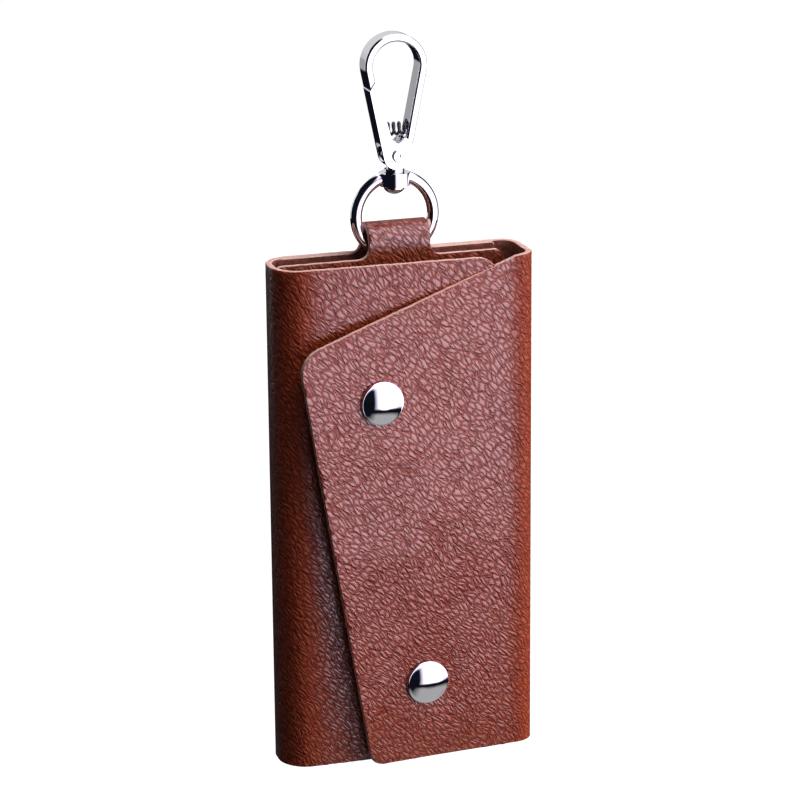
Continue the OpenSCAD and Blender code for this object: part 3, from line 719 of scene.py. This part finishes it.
# How much of the full width an eased edge keeps below fine_below
FINE_EDGE = 0.25
# In metres: how deep the flat pole of a cap reaches, and how far it is drawn out
POLE_DEPTH, POLE_RISE = 2e-5, 5e-6


def copied(name, node_name):
    """A copy of a CAD piece's mesh, with its doubled points merged, to be worked on in bmesh."""
    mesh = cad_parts[node_name].data.copy()
    mesh.name = name
    bm = bmesh.new()
    bm.from_mesh(mesh)
    bmesh.ops.remove_doubles(bm, verts=bm.verts, dist=1e-6)
    return mesh, bm


def finished(mesh, bm, material):
    bm.to_mesh(mesh)
    bm.free()
    mesh.materials.clear()
    mesh.materials.append(material)
    mesh.shade_smooth()


def dressed(name, node_name, body, width, angle, fine_below=None):
    """A copy of a CAD piece in chrome with its sharp edges eased, and less so below a height in metres."""
    mesh, bm = copied(name, node_name)
    bmesh.ops.dissolve_limit(bm, angle_limit=deg(1.0), verts=bm.verts, edges=bm.edges)
    share = bm.edges.layers.float.new("bevel_weight_edge")
    for e in bm.edges:
        if len(e.link_faces) == 2 and e.calc_face_angle(0.0) > deg(angle):
            full = fine_below is None or min(v.co.z for v in e.verts) > fine_below
            e[share] = 1.0 if full else FINE_EDGE
    finished(mesh, bm, CHROME)
    o = add_object(name, mesh)
    bevel = o.modifiers.new("bevel", "BEVEL")
    bevel.width = width * MM
    bevel.segments = 2
    bevel.limit_method = "WEIGHT"
    bevel.use_clamp_overlap = fine_below is None
    weights = o.modifiers.new("weights", "WEIGHTED_NORMAL")
    weights.keep_sharp = True
    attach(o, body)
    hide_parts(node_name)


def shade(node_name, material):
    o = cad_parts[node_name]
    o.data.materials.clear()
    o.data.materials.append(material)
    o.data.shade_smooth()
    o.data.set_sharp_from_angle(angle=SHARP)


def domed(name, node_name):
    """A copy of a snap cap in chrome, whose flat pole is drawn out to a point of the dome."""
    mesh, bm = copied(name, node_name)
    axis = Vector((math.sin(deg(FLARE)), -math.cos(deg(FLARE)), 0))
    top = max(v.co.dot(axis) for v in bm.verts)
    pole = [v for v in bm.verts if v.co.dot(axis) > top - POLE_DEPTH]
    middle = sum((v.co for v in pole), Vector()) / len(pole)
    bmesh.ops.pointmerge(bm, verts=pole, merge_co=middle + axis * POLE_RISE)
    finished(mesh, bm, CHROME)
    mesh.set_sharp_from_angle(angle=SHARP)
    o = add_object(name, mesh)
    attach(o, "flap")
    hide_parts(node_name)


dressed("hook_frame_polished", "hook_frame", "hook", 0.24, 40, fine_below=-0.021)
dressed("gate_polished", "gate", "gate", 0.2, 25)
dressed("ring_polished", "swivel_ring", "ring", 0.12, 40)
dressed("gate_pin_polished", "gate_pin", "hook", 0.10, 40)
for name in ("upper_cap", "lower_cap"):
    domed(name + "_polished", name)
for name in ("upper_socket", "lower_socket", "upper_stud", "lower_stud", "upper_eyelet", "lower_eyelet",
             "key_rack", "rack_rivets", "key_hook_pins"):
    shade(name, STEEL)
for i in range(1, 7):
    shade("key_hook_%d" % i, STEEL)


def tube(name, points, radius, sides, material):
    verts, faces = [], []
    last = len(points) - 1
    across = Vector((0, 0, 1))
    for i, p in enumerate(points):
        d = (points[min(i + 1, last)] - points[max(i - 1, 0)]).normalized()
        across = (across - d * across.dot(d)).normalized()
        b = d.cross(across)
        for k in range(sides):
            a = 2 * math.pi * k / sides
            verts.append(tuple((p + radius * (math.cos(a) * across + math.sin(a) * b)) * MM))
    for i in range(last):
        for k in range(sides):
            a, b = i * sides + k, i * sides + (k + 1) % sides
            faces.append((a, b, b + sides, a + sides))
    faces.append(tuple(reversed(range(sides))))
    faces.append(tuple(last * sides + k for k in range(sides)))
    mesh = bpy.data.meshes.new(name)
    mesh.from_pydata(verts, [], faces)
    mesh.materials.append(material)
    mesh.shade_smooth()
    mesh.set_sharp_from_angle(angle=deg(60))
    return add_object(name, mesh)


# The gate's spring: a coil between gate and spine, with a short straight end at each side
SPRING_LOW, SPRING_HIGH = box_mm("gate_spring")
WIRE = 0.66
TURNS, TURN_STEPS, LEAD = 4, 24, 0.7
coil_r = (SPRING_HIGH.y - SPRING_LOW.y - WIRE) / 2
coil_z = (SPRING_HIGH.z + SPRING_LOW.z) / 2
coil = [Vector((SPRING_LOW.x, -coil_r * 0.3, coil_z + coil_r * 0.95))]
for i in range(TURNS * TURN_STEPS + 1):
    a = 2 * math.pi * i / TURN_STEPS
    x = SPRING_LOW.x + LEAD + (SPRING_HIGH.x - SPRING_LOW.x - 2 * LEAD) * i / (TURNS * TURN_STEPS)
    coil.append(Vector((x, coil_r * math.sin(a), coil_z + coil_r * math.cos(a))))
coil.append(Vector((SPRING_HIGH.x, coil_r * 0.3, coil_z + coil_r * 0.95)))
spring = tube("gate_spring_coil", coil, WIRE / 2, 12, DARK_STEEL)
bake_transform(spring)
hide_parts("gate_spring")


# The studio. What gloss and metal mirror is a room with one white wall, drawn on the floor and the world for
# glossy rays alone. The camera sees a plain white ground, and the softboxes light the object.
ROOM, ROOM_LIGHT = (0.98, 0.88, 1.08), 2.5
NIGHT = (0.002, 0.002, 0.004)
NIGHT_SKY = (0.002, 0.003, 0.005)


def seen_directly(t, path):
    return maths(t, "MAXIMUM", path.outputs["Is Camera Ray"], path.outputs["Is Transmission Ray"])


def half(t, value):
    """A direction's share from -1 to 1, brought to 0 to 1."""
    return maths(t, "MULTIPLY_ADD", value, 0.5, 0.5)


def wall(t, way):
    """1 towards the white wall in front and to the right, and 0 elsewhere."""
    across = ramp(t, half(t, way.outputs[0]), [(0.41, BLACK), (0.62, WHITE)])
    along = ramp(t, half(t, way.outputs[1]), [
        (0.28, WHITE), (0.40, grey(0.52)), (0.52, grey(0.52)), (0.60, BLACK)])
    return maths(t, "MULTIPLY", across, along)


def behind(t, way):
    return ramp(t, half(t, way.outputs[1]), [(0.90, BLACK), (0.94, WHITE)])


def mirrored_floor(t):
    """What glossy rays see of the floor: a pale table, then darkness, with the wall's foot far off."""
    where = node(t, "ShaderNodeTexCoord").outputs["Object"]
    length = node(t, "ShaderNodeVectorMath", operation="LENGTH")
    t.links.new(where, length.inputs[0])
    away = length.outputs["Value"]
    unit = node(t, "ShaderNodeVectorMath", operation="NORMALIZE")
    t.links.new(where, unit.inputs[0])
    way = t.nodes.new("ShaderNodeSeparateXYZ")
    t.links.new(unit.outputs[0], way.inputs[0])
    table = ramp(t, away, [(0.30, (0.17, 0.17, 0.172)), (0.34, NIGHT)])
    far = ramp(t, away, [(0.40, BLACK), (0.47, WHITE)])
    farther = ramp(t, maths(t, "MULTIPLY", away, 0.5), [(0.48, BLACK), (0.56, WHITE)])
    to_right = ramp(t, half(t, way.outputs[0]), [(0.36, BLACK), (0.48, WHITE)])
    seen = mix(t, to_right, NIGHT, table)
    seen = mix(t, maths(t, "MULTIPLY", behind(t, way), farther), seen, (0.15, 0.15, 0.155))
    return mix(t, maths(t, "MULTIPLY", far, wall(t, way)), seen, ROOM)


def floor_material():
    m, t, shader = new_material("floor")
    shader.inputs["Base Color"].default_value = (0.80, 0.80, 0.80, 1)
    shader.inputs["Roughness"].default_value = 0.9
    out = next(n for n in t.nodes if n.type == "OUTPUT_MATERIAL")
    path = t.nodes.new("ShaderNodeLightPath")
    white = node(t, "ShaderNodeEmission", Color=(1, 1, 1, 1), Strength=0.98)
    nothing = node(t, "ShaderNodeEmission", Color=(0, 0, 0, 1), Strength=0.0)
    bright = t.nodes.new("ShaderNodeAddShader")
    t.links.new(white.outputs[0], bright.inputs[0])
    t.links.new(mix_shaders(t, 0.75, shader, nothing).outputs[0], bright.inputs[1])
    room = node(t, "ShaderNodeEmission", Strength=ROOM_LIGHT)
    t.links.new(mirrored_floor(t), room.inputs["Color"])
    bounce = node(t, "ShaderNodeBsdfDiffuse", Color=(0.12, 0.12, 0.12, 1))
    unseen = mix_shaders(t, path.outputs["Is Glossy Ray"], bounce, room)
    t.links.new(mix_shaders(t, seen_directly(t, path), unseen, bright).outputs[0], out.inputs[0])
    return m


FLOOR_Z, REACH = -0.25, 6.0
floor_corners = [(x * REACH, y * REACH, FLOOR_Z) for x, y in ((-1, -1), (1, -1), (1, 1), (-1, 1))]
floor_mesh = bpy.data.meshes.new("floor")
floor_mesh.from_pydata(floor_corners, [], [(0, 1, 2, 3)])
floor_mesh.materials.append(floor_material())
floor = add_object("floor", floor_mesh)
floor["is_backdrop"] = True


def room_sky(t):
    """What glossy rays see of the world: the wall, a pale ceiling to the right, and a grey room behind."""
    way = t.nodes.new("ShaderNodeSeparateXYZ")
    t.links.new(node(t, "ShaderNodeTexCoord").outputs["Generated"], way.inputs[0])
    rise = half(t, way.outputs[2])
    above = ramp(t, rise, [(0.47, BLACK), (0.48, WHITE)])
    high = ramp(t, rise, [(0.77, BLACK), (0.85, WHITE)])
    to_right = ramp(t, half(t, way.outputs[0]), [(0.36, BLACK), (0.44, WHITE)])
    lit = maths(t, "MAXIMUM", maths(t, "MULTIPLY", wall(t, way), above), maths(t, "MULTIPLY", high, to_right))
    rear = ramp(t, rise, [
        (0.35, NIGHT), (0.38, (0.15, 0.15, 0.155)), (0.56, (0.27, 0.27, 0.275)), (0.8, (0.31, 0.31, 0.32))])
    return mix(t, lit, mix(t, behind(t, way), NIGHT_SKY, rear), ROOM)


world = bpy.data.worlds.new("world")
bpy.context.scene.world = world
world.use_nodes = True
wt = world.node_tree
wt.nodes.clear()
w_out = wt.nodes.new("ShaderNodeOutputWorld")
w_path = wt.nodes.new("ShaderNodeLightPath")
w_seen = node(wt, "ShaderNodeBackground", Color=(1, 1, 1, 1), Strength=1.0)
w_fill = node(wt, "ShaderNodeBackground", Color=(0.95, 0.97, 1, 1), Strength=0.03)
w_room = node(wt, "ShaderNodeBackground", Strength=ROOM_LIGHT)
wt.links.new(room_sky(wt), w_room.inputs["Color"])
w_unseen = mix_shaders(wt, w_path.outputs["Is Glossy Ray"], w_fill, w_room)
wt.links.new(mix_shaders(wt, seen_directly(wt, w_path), w_unseen, w_seen).outputs[0], w_out.inputs[0])

CENTRE = Vector((0, 0, -0.08))


def softbox(name, azimuth, elevation, distance, size, radiance, only_seen=False):
    """A rectangular light that faces the case; azimuth is measured to the right from the front.
    It either lights the object unseen, or it shows in gloss alone."""
    a, e = deg(azimuth), deg(elevation)
    way = Vector((math.sin(a) * math.cos(e), -math.cos(a) * math.cos(e), math.sin(e)))
    data = bpy.data.lights.new(name, "AREA")
    data.shape = "RECTANGLE"
    data.size, data.size_y = size
    data.energy = radiance * math.pi * size[0] * size[1]
    o = add_object(name, data)
    o.location = CENTRE + way * distance
    o.rotation_euler = (-way).to_track_quat("-Z", "Y").to_euler()
    o.visible_camera = False
    o.visible_glossy = only_seen
    o.visible_diffuse = not only_seen


softbox("key", 66, 6, 0.85, (0.80, 0.72), 4.1)
softbox("top", 45, 68, 0.80, (0.7, 0.5), 5.4)
softbox("back", 160, 12, 1.0, (0.8, 0.8), 1.6)
softbox("rim_left", -138, 4, 0.9, (0.30, 0.7), 1.3, True)

bpy.context.scene.view_settings.view_transform = "Standard"

low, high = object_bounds()
